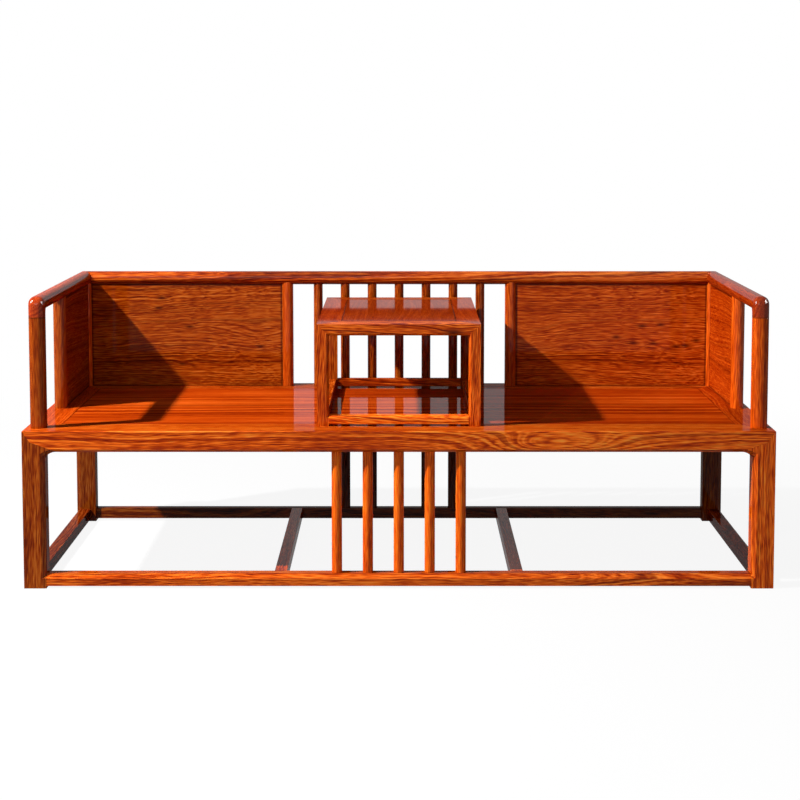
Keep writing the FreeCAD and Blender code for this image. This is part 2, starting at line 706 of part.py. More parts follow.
def build_back_and_arms():
    """Rails, posts, panels and spindles above the seat."""
    back_bar = back_rail_bar().cut([rail_corner_waste(False), mirrored_x(rail_corner_waste(False))])
    arm_bar = arm_rail_bar().cut(rail_corner_waste(True))
    rails = [back_bar, arm_bar]

    corner_post = rounded_bar(about(arm_x, post_size), about(back_y, post_size),
                              (seat_height, rail_under + hand_rail_round), along_z, post_round)
    corner_post = joined([corner_post.cut(rails), post_tenon(arm_x, back_y, 0, 0),
                          post_top_tenon(arm_x, back_y, rail_under, 0, 0)])
    corner_post = corner_post.cut([side_panel_slab(fit_clearance, end_clearance),
                                   back_panel_slab(fit_clearance, end_clearance)])

    front_post = rounded_bar(about(arm_x, post_size), about(arm_front_y, post_size),
                             (seat_height, elbow_under), along_z, post_round)
    front_post = joined([front_post, post_tenon(arm_x, arm_front_y, 0, 0),
                         post_top_tenon(arm_x, arm_front_y, elbow_under, 0, 0)])

    arm_mid = rounded_bar(about(arm_x, mid_post_size), about(arm_mid_y, mid_post_size),
                          (seat_height, rail_under + hand_rail_round), along_z, mid_post_round)
    arm_mid = joined([arm_mid.cut(arm_bar), post_tenon(arm_x, arm_mid_y, 0, 0),
                      post_top_tenon(arm_x, arm_mid_y, rail_under, 0, 0)])
    arm_mid = arm_mid.cut(side_panel_slab(fit_clearance, end_clearance))

    back_mid = rounded_bar(about(-back_mid_post_offset, mid_post_size), about(back_y, mid_post_size),
                           (seat_height, rail_under + hand_rail_round), along_z, mid_post_round)
    back_mid = joined([back_mid.cut(back_bar), post_tenon(-back_mid_post_offset, back_y, 0, 0),
                       post_top_tenon(-back_mid_post_offset, back_y, rail_under, 0, 0)])
    back_mid = back_mid.cut(back_panel_slab(fit_clearance, end_clearance))

    arm_sockets = [post_top_tenon(arm_x, arm_front_y, elbow_under, fit_clearance, end_clearance),
                   post_top_tenon(arm_x, arm_mid_y, rail_under, fit_clearance, end_clearance),
                   post_top_tenon(arm_x, back_y, rail_under, fit_clearance, end_clearance),
                   side_panel_slab(fit_clearance, end_clearance)]
    arm_rail = joined([arm_bar, rail_mitre_pin(0, 0)]).cut(arm_sockets)

    back_sockets = [post_top_tenon(arm_x, back_y, rail_under, fit_clearance, end_clearance),
                    post_top_tenon(-back_mid_post_offset, back_y, rail_under, fit_clearance,
                                   end_clearance),
                    back_panel_slab(fit_clearance, end_clearance),
                    rail_mitre_pin(fit_clearance, end_clearance)]
    back_sockets += [mirrored_x(shape) for shape in back_sockets]
    places = spindle_places(back_spindle_count)
    back_sockets += [spindle_pin(x, back_y, seat_height, rail_under, fit_clearance, end_clearance)
                     for x in places]
    keep("back_top_rail", back_bar.cut(back_sockets))

    sided = {"arm_rail": arm_rail, "arm_front_post": front_post, "arm_mid_post": arm_mid,
             "arm_panel": side_panel_slab(0, 0), "rear_corner_post": corner_post,
             "back_mid_post": back_mid, "back_panel": back_panel_slab(0, 0)}
    for name, shape in sided.items():
        keep("left_" + name, shape)
        keep("right_" + name, mirrored_x(shape))

    for number, x in enumerate(places, 1):
        rod = spindle_rod(x, back_y, seat_height, rail_under + hand_rail_round).cut(back_bar)
        pin = spindle_pin(x, back_y, seat_height, rail_under, 0, 0)
        keep("back_spindle_%d" % number, joined([rod, pin]))


def build_table():
    """The small table that stands on the seat."""
    centre_y = -bed.half_depth + table_setback + table.half_depth
    half = table.half_width - table.side_rail_width
    groove = turned_quarter(table.dovetail(half, fit_clearance))
    socket = table.batten_socket(False)
    front = table.front_rail()
    side = table.side_rail().cut(socket)
    front_stretcher = table.front_stretcher()
    side_stretcher = table.side_stretcher()
    shapes = {"table_front_rail": front, "table_rear_rail": mirrored_y(front),
              "table_left_rail": side, "table_right_rail": mirrored_x(side),
              "table_panel": table.panel().cut(groove), "table_batten": table.batten(False),
              "table_front_stretcher": front_stretcher,
              "table_rear_stretcher": mirrored_y(front_stretcher),
              "table_left_stretcher": side_stretcher,
              "table_right_stretcher": mirrored_x(side_stretcher)}
    for corner, shape in table.legs().items():
        shapes["table_%s_leg" % corner] = shape
    for name, shape in shapes.items():
        keep(name, moved(shape, 0, centre_y, seat_height))


holes = build_base()
build_seat(holes)
build_back_and_arms()
build_table()

os.makedirs("parts", exist_ok=True)
for name, shape in pieces.items():
    if not shape.isValid() or not shape.Solids:
        raise RuntimeError(name + " is not a sound solid")
    shape.exportStep("parts/%s.step" % name)
print("%d nodes, %d solids" % (len(pieces), sum(len(shape.Solids) for shape in pieces.values())))
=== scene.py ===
# %% [markdown]
# A luohan daybed in lacquered rosewood, with the small kang table that stands on its seat.
# The joinery is already made: every rail, leg, post, spindle and panel comes in as a fixed node of the
# frame. What is left to make here is how the wood looks: eased edges, grain that runs the right way in
# every timber, a clear glossy lacquer, and a plain studio round it.

# %% Load the frame
import json
import math
import random

import bmesh
import bpy
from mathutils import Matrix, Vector

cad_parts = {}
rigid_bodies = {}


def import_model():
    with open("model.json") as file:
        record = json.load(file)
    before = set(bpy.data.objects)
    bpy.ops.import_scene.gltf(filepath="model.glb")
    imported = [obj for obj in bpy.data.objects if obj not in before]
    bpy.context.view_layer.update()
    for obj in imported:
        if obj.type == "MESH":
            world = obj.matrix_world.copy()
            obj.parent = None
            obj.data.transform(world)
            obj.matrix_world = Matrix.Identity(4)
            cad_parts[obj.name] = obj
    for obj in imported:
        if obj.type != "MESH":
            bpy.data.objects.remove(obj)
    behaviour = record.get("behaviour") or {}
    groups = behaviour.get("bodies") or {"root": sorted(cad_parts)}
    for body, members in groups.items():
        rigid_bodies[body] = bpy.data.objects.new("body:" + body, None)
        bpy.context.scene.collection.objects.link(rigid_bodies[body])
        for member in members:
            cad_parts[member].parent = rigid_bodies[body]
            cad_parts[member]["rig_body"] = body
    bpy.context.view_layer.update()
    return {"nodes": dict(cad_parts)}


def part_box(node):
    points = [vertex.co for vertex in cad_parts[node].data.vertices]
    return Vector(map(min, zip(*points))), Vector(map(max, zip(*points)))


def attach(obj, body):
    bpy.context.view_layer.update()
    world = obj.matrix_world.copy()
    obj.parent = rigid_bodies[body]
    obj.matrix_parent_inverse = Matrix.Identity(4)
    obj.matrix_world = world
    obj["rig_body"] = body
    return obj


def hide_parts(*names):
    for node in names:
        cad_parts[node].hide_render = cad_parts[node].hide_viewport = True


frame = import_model()

# %% [markdown]
# The camera comes first, because every later choice is judged through it. The bed was photographed from
# a little over five metres with a long lens, slightly from above. The picture keeps upright lines upright,
# which a shifted lens does. A large shift would push the bed out of frame when the camera goes round it,
# so most of the tilt is a real pitch and only a part of it is shift.

# %% Camera
CAMERA_PLACE = Vector((0.006, -5.703, 1.277))
CAMERA_PITCH = math.radians(5.602)
CAMERA_LENS = 90.0
CAMERA_SENSOR = 36.0
CAMERA_SHIFT = (-0.0013, -0.12)

camera_data = bpy.data.cameras.new("camera")
camera_data.lens = CAMERA_LENS
camera_data.sensor_width = CAMERA_SENSOR
camera_data.shift_x, camera_data.shift_y = CAMERA_SHIFT
camera = bpy.data.objects.new("camera", camera_data)
camera.location = CAMERA_PLACE
camera.rotation_euler = (math.pi / 2 - CAMERA_PITCH, 0, 0)
bpy.context.scene.collection.objects.link(camera)
bpy.context.scene.camera = camera
bpy.context.scene.view_settings.view_transform = "Standard"
print("camera", [round(value, 3) for value in camera.location])

# %% [markdown]
# The world, the floor and the wood are all trees of nodes. One helper adds a node, sets its properties,
# and fills each input with a value or, where it is handed a socket, with a link. A second one does the
# arithmetic. They keep a material short enough to read.

# %% Helpers for node trees
def add_node(tree, kind, inputs=None, **settings):
    """Adds a node, sets its properties, and fills its inputs with values or links."""
    node = tree.nodes.new(kind)
    for key, value in settings.items():
        setattr(node, key, value)
    for key, value in (inputs or {}).items():
        if isinstance(value, bpy.types.NodeSocket):
            tree.links.new(value, node.inputs[key])
        else:
            node.inputs[key].default_value = value
    return node


def reckon(tree, operation, *values):
    """The result of a Math node."""
    return add_node(tree, "ShaderNodeMath", dict(enumerate(values)), operation=operation).outputs[0]


# %% [markdown]
# The studio is white all round. What the camera, a mirror-like surface or glass sees of it is plain white,
# which is a strength of 1. What lights the wood is dimmer, so that the key lamp still models the form.
# The world can tell these rays apart with Light Path.

# %% World
FILL_STRENGTH = 0.10
BACKDROP_STRENGTH = 1.0
WHITE = (1.0, 1.0, 1.0, 1.0)


def seen_rays(tree):
    """1 for camera, glossy and transmission rays, 0 for the rays that carry diffuse light."""
    path = add_node(tree, "ShaderNodeLightPath").outputs
    seen = reckon(tree, "MAXIMUM", path["Is Camera Ray"], path["Is Glossy Ray"])
    return reckon(tree, "MAXIMUM", seen, path["Is Transmission Ray"])


world = bpy.data.worlds.new("studio")
bpy.context.scene.world = world
world.use_nodes = True
sky = world.node_tree
sky.nodes.clear()
fill = add_node(sky, "ShaderNodeBackground", {"Color": WHITE, "Strength": FILL_STRENGTH})
backdrop = add_node(sky, "ShaderNodeBackground", {"Color": WHITE, "Strength": BACKDROP_STRENGTH})
sky_inputs = {0: seen_rays(sky), 1: fill.outputs[0], 2: backdrop.outputs[0]}
sky_mix = add_node(sky, "ShaderNodeMixShader", sky_inputs)
add_node(sky, "ShaderNodeOutputWorld", {"Surface": sky_mix.outputs[0]})
print("fill", FILL_STRENGTH)

# %% [markdown]
# The key lamp stands high on the left, in front of the bed and under five metres from it. The shadows in
# the picture tell where: the arm's shadow leans less than the table's, which is further from the lamp, and
# lines drawn back through both meet at one place. A lamp this near also lights the left end more than the
# right one. It is only a hand wide, so the shadow edges are crisp.

# %% Key lamp
KEY_PLACE = Vector((-3.26, -1.40, 3.47))
KEY_WATTS = 1450.0
KEY_RADIUS = 0.07

key_data = bpy.data.lights.new("key", "POINT")
key_data.energy = KEY_WATTS
key_data.shadow_soft_size = KEY_RADIUS
key = bpy.data.objects.new("key", key_data)
key.location = KEY_PLACE
bpy.context.scene.collection.objects.link(key)
print("key lamp", round(KEY_PLACE.length, 2), "metres away")

# %% [markdown]
# The front faces of the picture are brighter than a lamp so far to the side could make them, and its
# shadows on the back aren't black. So a wide softbox hangs over the camera, where its own shadows fall
# behind the timbers and aren't seen. It hangs a little to the left, so that the round posts and spindles
# still turn dark on their right side.

# %% Front softbox
FRONT_PLACE = Vector((-1.1, -5.1, 2.3))
FRONT_SIZE = (2.4, 1.4)
FRONT_WATTS = 52.0
SOFTBOX_AIM = Vector((0.0, 0.0, 0.4))


def hang_softbox(name, place, size, watts):
    """A rectangular lamp that is turned to the bed."""
    data = bpy.data.lights.new(name, "AREA")
    data.shape = "RECTANGLE"
    data.size, data.size_y = size
    data.energy = watts
    softbox = bpy.data.objects.new(name, data)
    softbox.location = place
    softbox.rotation_euler = (SOFTBOX_AIM - place).to_track_quat("-Z", "Y").to_euler()
    bpy.context.scene.collection.objects.link(softbox)
    print(name, size, "metres")
    return softbox


hang_softbox("front_softbox", FRONT_PLACE, FRONT_SIZE, FRONT_WATTS)

# %% [markdown]
# The last two softboxes are there for the lacquer alone, and give no diffuse light, so the shadows stay as
# they are. They hang high on both sides, and each rounded elbow mirrors them as two bright dots.

# %% Softboxes for the lacquer
SIDE_PLACE = Vector((4.1, -1.2, 3.2))
SIDE_SIZE = (2.4, 2.4)
SIDE_WATTS = 900.0

for side, mirrored in (("left", -1), ("right", 1)):
    place = Vector((mirrored * SIDE_PLACE.x, SIDE_PLACE.y, SIDE_PLACE.z))
    hang_softbox(side + "_softbox", place, SIDE_SIZE, SIDE_WATTS).visible_diffuse = False

# %% [markdown]
# The floor is one flat disc that reaches the horizon. Nothing of its shape shows, so a filled circle is
# all the mesh that it needs.

# %% Floor sheet
FLOOR_RADIUS = 40.0
FLOOR_SEGMENTS = 64

floor_mesh = bpy.data.meshes.new("floor")
bm = bmesh.new()
bmesh.ops.create_circle(bm, cap_ends=True, segments=FLOOR_SEGMENTS, radius=FLOOR_RADIUS)
bm.to_mesh(floor_mesh)
bm.free()
floor = bpy.data.objects.new("floor", floor_mesh)
bpy.context.scene.collection.objects.link(floor)
print("floor radius", FLOOR_RADIUS)

# %% [markdown]
# Where the camera or the lacquer sees the floor, it is a nearly white sheet that still darkens a little in
# shadow. Away from the bed, where the key lamp's light falls off, the sheet glows more, so that it ends in
# the same white as the backdrop. Where it only passes light on to the wood it counts as a middle grey, or
# the undersides of the rails would glow.

# %% Floor material
FLOOR_PALE = (0.80, 0.80, 0.80, 1.0)
FLOOR_BOUNCE = (0.17, 0.17, 0.17, 1.0)
NEAR_GLOW = 0.91
GLOW_START = 1.0
GLOW_END = 3.5


def place_on(tree):
    """The place that is being coloured, in metres, as Object coordinates give it."""
    return add_node(tree, "ShaderNodeTexCoord").outputs["Object"]


def length_of(tree, arrow):
    """The length of a vector, as a number."""
    return add_node(tree, "ShaderNodeVectorMath", {0: arrow}, operation="LENGTH").outputs["Value"]


def smooth_step(tree, value, start, end, before=0.0, after=1.0):
    """A number that goes smoothly from before to after, while the value goes from start to end."""
    inputs = {"Value": value, "From Min": start, "From Max": end, "To Min": before, "To Max": after}
    return add_node(tree, "ShaderNodeMapRange", inputs, interpolation_type="SMOOTHSTEP").outputs[0]


floor_material = bpy.data.materials.new("floor")
floor_material.use_nodes = True
sheet = floor_material.node_tree
sheet.nodes.clear()
share = smooth_step(sheet, length_of(sheet, place_on(sheet)), GLOW_START, GLOW_END, NEAR_GLOW)
pale = add_node(sheet, "ShaderNodeBsdfDiffuse", {"Color": FLOOR_PALE})
glow = add_node(sheet, "ShaderNodeEmission", {"Color": WHITE, "Strength": BACKDROP_STRENGTH})
seen = add_node(sheet, "ShaderNodeMixShader", {0: share, 1: pale.outputs[0], 2: glow.outputs[0]})
bounce = add_node(sheet, "ShaderNodeBsdfDiffuse", {"Color": FLOOR_BOUNCE})
sheet_inputs = {0: seen_rays(sheet), 1: bounce.outputs[0], 2: seen.outputs[0]}
sheet_mix = add_node(sheet, "ShaderNodeMixShader", sheet_inputs)
add_node(sheet, "ShaderNodeOutputMaterial", {"Surface": sheet_mix.outputs[0]})
floor_mesh.materials.append(floor_material)
print("floor glow", NEAR_GLOW, "by the bed, and full from", GLOW_END, "metres")

# %% [markdown]
# Rosewood is drawn as a solid pattern, not as a picture wrapped round the timber, so a leg's end and its
# side show the same rings. A tree grows in rings round its pith, so the pattern starts as the distance
# from a pith line that runs along the timber and leans a little. Where a face cuts the rings at a slant
# they open into long arches, and elsewhere they are straight lines, as on real boards. Two slow noises
# bend the rings, a long one and a short one, because rosewood is wavy.

# %% Growth rings
GRAIN_TURN = {"x": (0, 0, 0), "y": (0, 0, math.pi / 2), "z": (0, -math.pi / 2, 0)}
BEND_PER_METRE = (1.2, 5.0, 5.0)
BEND_REACH = (0, 0.07, 0.07)
WAVE_PER_METRE = (11.0, 22.0, 22.0)
WAVE_REACH = (0, 0.010, 0.010)
ACROSS_ONLY = (0, 1, 1)
SOFT_DETAIL = 1.0
FINE_DETAIL = 2.0


def reckon_place(tree, operation, *values):
    """The resulting vector of a Vector Math node."""
    return add_node(tree, "ShaderNodeVectorMath", dict(enumerate(values)), operation=operation).outputs[0]


def stretched(tree, place, per_metre, detail=SOFT_DETAIL):
    """A noise whose features are long along the timber and fine across it."""
    scaled = reckon_place(tree, "MULTIPLY", place, per_metre)
    inputs = {"Vector": scaled, "Scale": 1.0, "Detail": detail}
    return add_node(tree, "ShaderNodeTexNoise", inputs).outputs


def along_the_grain(tree, grain, pith, lean, waves):
    """Places measured along the timber and across it from the pith, bent by two noises."""
    turn = [base + extra for base, extra in zip(GRAIN_TURN[grain], (0, *lean))]
    inputs = {"Vector": place_on(tree), "Location": pith, "Rotation": turn}
    local = add_node(tree, "ShaderNodeMapping", inputs, vector_type="TEXTURE").outputs[0]
    bend = stretched(tree, local, BEND_PER_METRE)["Color"]
    bent = reckon_place(tree, "MULTIPLY_ADD", bend, BEND_REACH, local)
    wave = stretched(tree, local, WAVE_PER_METRE)["Color"]
    return reckon_place(tree, "MULTIPLY_ADD", wave, [reach * waves for reach in WAVE_REACH], bent)


def ring_distance(tree, bent):
    """The distance from the pith line, which makes the rings."""
    across = reckon_place(tree, "MULTIPLY", bent, ACROSS_ONLY)
    return length_of(tree, across)


# %% [markdown]
# A knot is where a branch left the trunk. The rings part round it, and its heart is a small dark dot. A
# swirl is a wide knot without a heart. Both add a smooth bump to the ring distance round one point, long
# in the direction of the grain, and the rings, which are lines of equal distance, flow round it.

# %% Knots and swirls
HEART_NARROWING = 5.0


class Knot:
    """A knot's middle, its spread each way, how far it lifts the rings, and how dark its heart is."""

    def __init__(self, middle, spread, lift, heart=0.0):
        self.middle = middle
        self.spread = spread
        self.lift = lift
        self.heart = heart


def with_knots(tree, distance, knots):
    """The ring distance with its knots, and how dark the knots' hearts are."""
    hearts = 0.0
    for knot in knots:
        apart = reckon_place(tree, "SUBTRACT", place_on(tree), knot.middle)
        near = length_of(tree, reckon_place(tree, "DIVIDE", apart, knot.spread))
        squared = reckon(tree, "MULTIPLY", near, near)
        bump = reckon(tree, "EXPONENT", reckon(tree, "MULTIPLY", squared, -1.0))
        distance = reckon(tree, "MULTIPLY_ADD", bump, knot.lift, distance)
        heart = reckon(tree, "MULTIPLY", reckon(tree, "POWER", bump, HEART_NARROWING), knot.heart)
        hearts = reckon(tree, "MAXIMUM", hearts, heart)
    return distance, hearts


# %% [markdown]
# A woodworker calls the pattern of a board its figure. One log gives calm boards, straight ones and lively
# ones, so the figure is a small set of strengths that each timber can have in its own measure, and one
# material serves them all.

# %% Figure of a board
class Figure:
    """How strong and how wide a board's rings are, how strong its fibres, how wavy its grain, its knots."""

    def __init__(self, rings=1.0, fibres=1.0, breadth=1.0, waves=1.0, knots=()):
        self.rings = rings
        self.fibres = fibres
        self.breadth = breadth
        self.waves = waves
        self.knots = knots


# %% [markdown]
# How light the wood is at a place follows from five readings. Two noises that know only the ring distance
# give the broad bands and the fine lines. Two stretched noises give the fibres and the short flecks of the
# pores, and a slower one lets the colour drift along the board. Each is weighed round its middle of one
# half, so the sum stays centred on the ramp's middle colour however the weights are set.

# %% Readings of the wood
BAND_PER_METRE = 42.0
LINE_PER_METRE = 260.0
RING_ROUGHNESS = 0.6
FIBRE_PER_METRE = (3.5, 290.0, 290.0)
FLECK_PER_METRE = (26.0, 480.0, 480.0)
DRIFT_PER_METRE = (2.2, 8.0, 8.0)
RING_WEIGHTS = {"band": 0.42, "line": 1.25, "drift": 0.75}
FIBRE_WEIGHTS = {"fibre": 0.80, "fleck": 1.30}
MIDDLE = 0.5


def ring_noise(tree, distance, per_metre, detail=SOFT_DETAIL):
    """A noise that changes only with the distance from the pith."""
    inputs = {"W": distance, "Scale": per_metre, "Detail": detail, "Roughness": RING_ROUGHNESS}
    return add_node(tree, "ShaderNodeTexNoise", inputs, noise_dimensions="1D").outputs[0]


def wood_figure(tree, bent, distance, figure):
    """A number round one half that says how light the wood is at a place."""
    readings = {
        "band": ring_noise(tree, distance, BAND_PER_METRE / figure.breadth),
        "line": ring_noise(tree, distance, LINE_PER_METRE / figure.breadth, FINE_DETAIL),
        "fibre": stretched(tree, bent, FIBRE_PER_METRE, FINE_DETAIL)[0],
        "fleck": stretched(tree, bent, FLECK_PER_METRE)[0],
        "drift": stretched(tree, bent, DRIFT_PER_METRE)[0],
    }
    weights = {kind: weight * figure.rings for kind, weight in RING_WEIGHTS.items()}
    weights.update({kind: weight * figure.fibres for kind, weight in FIBRE_WEIGHTS.items()})
    lightness = MIDDLE - MIDDLE * sum(weights.values())
    for kind, reading in readings.items():
        lightness = reckon(tree, "MULTIPLY_ADD", reading, weights[kind], lightness)
    return lightness


print("readings:", len(RING_WEIGHTS) + len(FIBRE_WEIGHTS))

# %% [markdown]
# A ramp turns that number into a colour, from a dark red brown to a light orange. Every timber multiplies
# the ramp by a tone of its own, so that one ramp serves them all, and no part of a colour goes past what a
# real surface can reflect. Rosewood also has dark veins. They are one more ring noise, read at a place far
# from the others so that it doesn't repeat them, and cut to narrow bands.

# %% Colour and veins
WOOD_RAMP = (
    (0.00, (0.120, 0.0065, 0.0003)),
    (0.30, (0.320, 0.0290, 0.0008)),
    (0.50, (0.520, 0.0680, 0.0025)),
    (0.70, (0.740, 0.1350, 0.0085)),
    (1.00, (0.950, 0.2400, 0.0280)),
)
LIGHTEST = 0.95
VEIN_COLOUR = (0.085, 0.009, 0.0012)
VEIN_PER_METRE = 95.0
VEIN_APART = 3.0
VEIN_EDGES = (0.59, 0.68)
VEIN_DEPTH = 0.45


def tinted(colour, tone):
    """A colour times a timber's tone, no lighter than a real surface can be, with alpha."""
    return (*(min(LIGHTEST, part * shade) for part, shade in zip(colour, tone)), 1.0)


def wood_ramp(tree, lightness, tone):
    """The ramp from dark to light wood, in one timber's tone."""
    ramp = add_node(tree, "ShaderNodeValToRGB", {"Fac": lightness})
    stops = ramp.color_ramp.elements
    while len(stops) < len(WOOD_RAMP):
        stops.new(MIDDLE)
    for stop, (position, colour) in zip(stops, WOOD_RAMP):
        stop.position = position
        stop.color = tinted(colour, tone)
    return ramp.outputs[0]


def veins(tree, distance, figure):
    """How dark the veins are at a place. They weaken with the rings."""
    elsewhere = reckon(tree, "ADD", distance, VEIN_APART)
    noise = ring_noise(tree, elsewhere, VEIN_PER_METRE / figure.breadth)
    depth = min(1.0, VEIN_DEPTH * figure.rings)
    return smooth_step(tree, noise, *VEIN_EDGES, 0.0, depth)


print("colours in the ramp:", len(WOOD_RAMP))

# %% [markdown]
# Joints show as fine dark lines, where a panel enters its groove or a post its rail, because a narrow gap
# takes in light. Such a gap is too narrow for the mesh, so it is a shade in the material, and fades out
# over a few millimetres. At a panel's edge it also paints the shade of the recess and of the rail above.
# The same shade is painted where there is no joint: on the underside of the back rail, and on an upper face
# that the lamps light more than its sides.

# %% Shades at the joints, and painted shade
SEAM_AND_SHADE_WIDTH = 0.0060
SEAM_AND_SHADE_DEPTH = 0.75
UNDERSIDE_SHADE_RISE = 0.014
TOP_SHADE_SKIN = 0.0012
TOP_SHADE_DEPTH = 0.42


def shade_near(tree, distance, width, depth=SEAM_AND_SHADE_DEPTH):
    """A shade that has its full depth at a distance of nothing and fades out over a width."""
    return smooth_step(tree, distance, 0.0, width, depth, 0.0)


def height_of(tree):
    """The height above the floor."""
    return add_node(tree, "ShaderNodeSeparateXYZ", {0: place_on(tree)}).outputs["Z"]


def no_seam(tree, low, high):
    """No shade at all."""
    return 0.0


def painted_underside_shade(tree, low, high):
    """Painted shade along a rail's underside: full at its lowest face, it fades out higher up."""
    return shade_near(tree, reckon(tree, "SUBTRACT", height_of(tree), low.z), UNDERSIDE_SHADE_RISE)


def painted_top_shade(tree, low, high):
    """Painted shade on a board's upper face, which the lamps light more than its sides."""
    return shade_near(tree, reckon(tree, "SUBTRACT", high.z, height_of(tree)), TOP_SHADE_SKIN, TOP_SHADE_DEPTH)


def joint_at(level):
    """The shade of a post that meets its rail at a level, and is dark right below it."""
    def shade(tree, low, high):
        return shade_near(tree, reckon(tree, "SUBTRACT", level, height_of(tree)), SEAM_AND_SHADE_WIDTH)
    return shade


# %% [markdown]
# A panel is longer and wider than it looks, because its edges are housed in grooves. Its dark line must
# run where the visible part ends, not at the real edge. The line is a dark joint, and across its width it
# is painted shade of the recess. So the shade measures how far a place is inside the panel's box, less what
# is housed, and takes the nearest side.

# %% Shade of a housed panel
def housed_edges(across, housed):
    """The dark joint line and painted recess shade of a panel whose edges are housed in grooves: dark where
    its visible part ends.
    """
    def shade(tree, low, high):
        apart = reckon_place(tree, "SUBTRACT", place_on(tree), (low + high) / 2)
        reach = reckon_place(tree, "ABSOLUTE", apart)
        half = (high - low) / 2 - Vector((housed, housed, housed))
        inside = reckon_place(tree, "SUBTRACT", half, reach)
        axes = add_node(tree, "ShaderNodeSeparateXYZ", {0: inside}).outputs
        edge = reckon(tree, "MINIMUM", *(axes[name] for name in "XYZ" if name != across))
        return shade_near(tree, edge, SEAM_AND_SHADE_WIDTH)
    return shade


# %% [markdown]
# Lacquer is a clear coat over the wood. The wood under it mirrors nothing, so every reflection comes from
# the coat, and the colour keeps its depth. A full coat would mirror so much of a white studio that the
# wood went pale, so its weight stays low. Most timbers have a thin satin one, the seat and the frame of
# the back a glossier one, and the arm rails and the table's top one that sleeves have rubbed softer.

# %% Rosewood
WOOD_ROUGHNESS = 0.40
LACQUER_IOR = 1.5
SATIN = {"Coat Weight": 0.10, "Coat Roughness": 0.04}
GLOSS = {"Coat Weight": 0.22, "Coat Roughness": 0.03}
RUBBED = {"Coat Weight": 0.26, "Coat Roughness": 0.055}


def rosewood(name, box, grain, pith, lean, tone, lacquer, figure, seam_and_shade):
    """One timber's material. Its rings run round the pith, and seam_and_shade darkens its joints and paints
    shade where given.
    """
    material = bpy.data.materials.new(name)
    material.use_nodes = True
    tree = material.node_tree
    bent = along_the_grain(tree, grain, pith, lean, figure.waves)
    distance, hearts = with_knots(tree, ring_distance(tree, bent), figure.knots)
    wood = wood_ramp(tree, wood_figure(tree, bent, distance, figure), tone)
    dark = reckon(tree, "MAXIMUM", veins(tree, distance, figure), hearts)
    dark = reckon(tree, "MAXIMUM", dark, seam_and_shade(tree, *box))
    inputs = {0: dark, 6: wood, 7: tinted(VEIN_COLOUR, tone)}
    colour = add_node(tree, "ShaderNodeMix", inputs, data_type="RGBA").outputs[2]

    shader = tree.nodes["Principled BSDF"]
    tree.links.new(colour, shader.inputs["Base Color"])
    shader.inputs["Roughness"].default_value = WOOD_ROUGHNESS
    shader.inputs["Specular IOR Level"].default_value = 0.0
    shader.inputs["Coat IOR"].default_value = LACQUER_IOR
    for key, value in lacquer.items():
        shader.inputs[key].default_value = value
    return material


# %% [markdown]
# A copy of a node's mesh arrives as loose triangles, and a bevel needs whole faces with shared edges. So
# the copy is merged, and its flat faces are joined again. The edges named as a rim are rounded straight in
# the mesh, because a modifier would round all edges alike.

# %% Merging a timber and rounding its rim
WELD = 0.00001
FLAT_ANGLE = math.radians(1.0)
SHARP_ANGLE = math.radians(30)
RIM_EASE = 0.0028
RIM_SEGMENTS = 3


def make_whole(bm, rim):
    """Merges loose triangles, joins flat faces again, and rounds the edges of the rim."""
    bmesh.ops.remove_doubles(bm, verts=bm.verts, dist=WELD)
    bmesh.ops.dissolve_limit(bm, angle_limit=FLAT_ANGLE, verts=bm.verts, edges=bm.edges)
    if rim is not None:
        edges = [edge for edge in bm.edges if edge.calc_face_angle(0) > SHARP_ANGLE and rim(edge)]
        settings = {"affect": "EDGES", "offset": RIM_EASE, "segments": RIM_SEGMENTS, "profile": 0.5}
        bmesh.ops.bevel(bm, geom=edges, material=-1, **settings)
    for face in bm.faces:
        face.smooth = True


print("rim rounded by", RIM_EASE, "metres")

# %% [markdown]
# No real arris is a knife edge, and a glossy timber is read by the thin highlight that runs along it. A
# Bevel modifier eases the sharp edges, which are many and alike. A Weighted Normal modifier then gives
# each vertex the direction of its largest face, which keeps the broad faces flat in the reflections and
# lets the small ones turn the corner.

# %% Easing the edges
EASE = 0.0010
EASE_SEGMENTS = 2
FLAT_WEIGHT = 90


def eased(node_name, rim):
    """A new piece with the node's shape and eased edges, in the node's place and on its body."""
    node = frame["nodes"][node_name]
    mesh = bpy.data.meshes.new(node_name + "_wood")
    bm = bmesh.new()
    bm.from_mesh(node.data)
    make_whole(bm, rim)
    bm.to_mesh(mesh)
    bm.free()
    piece = bpy.data.objects.new(node_name + "_wood", mesh)
    bpy.context.scene.collection.objects.link(piece)
    bevel = piece.modifiers.new("eased", "BEVEL")
    bevel.width = EASE
    bevel.segments = EASE_SEGMENTS
    bevel.limit_method = "ANGLE"
    bevel.angle_limit = SHARP_ANGLE
    flat = piece.modifiers.new("flat", "WEIGHTED_NORMAL")
    flat.weight = FLAT_WEIGHT
    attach(piece, node["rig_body"])
    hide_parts(node_name)
    return piece


print("arrises eased by", EASE, "metres")

# %% [markdown]
# The tones are what a maker sorts boards by. Amber and honey are the palest, warm, plain and deep go down
# to brown, and the red ones are red, cherry and garnet. Plum and umber are the darkest, and are painted
# shade: they darken low timbers at the back that stand in more shade than the lamps here give. The figures
# are the cuts: lively boards with wavy grain, even ones, straight sticks for the legs and spindles, and
# smooth, polished and calm ones, on which the rings hardly show.

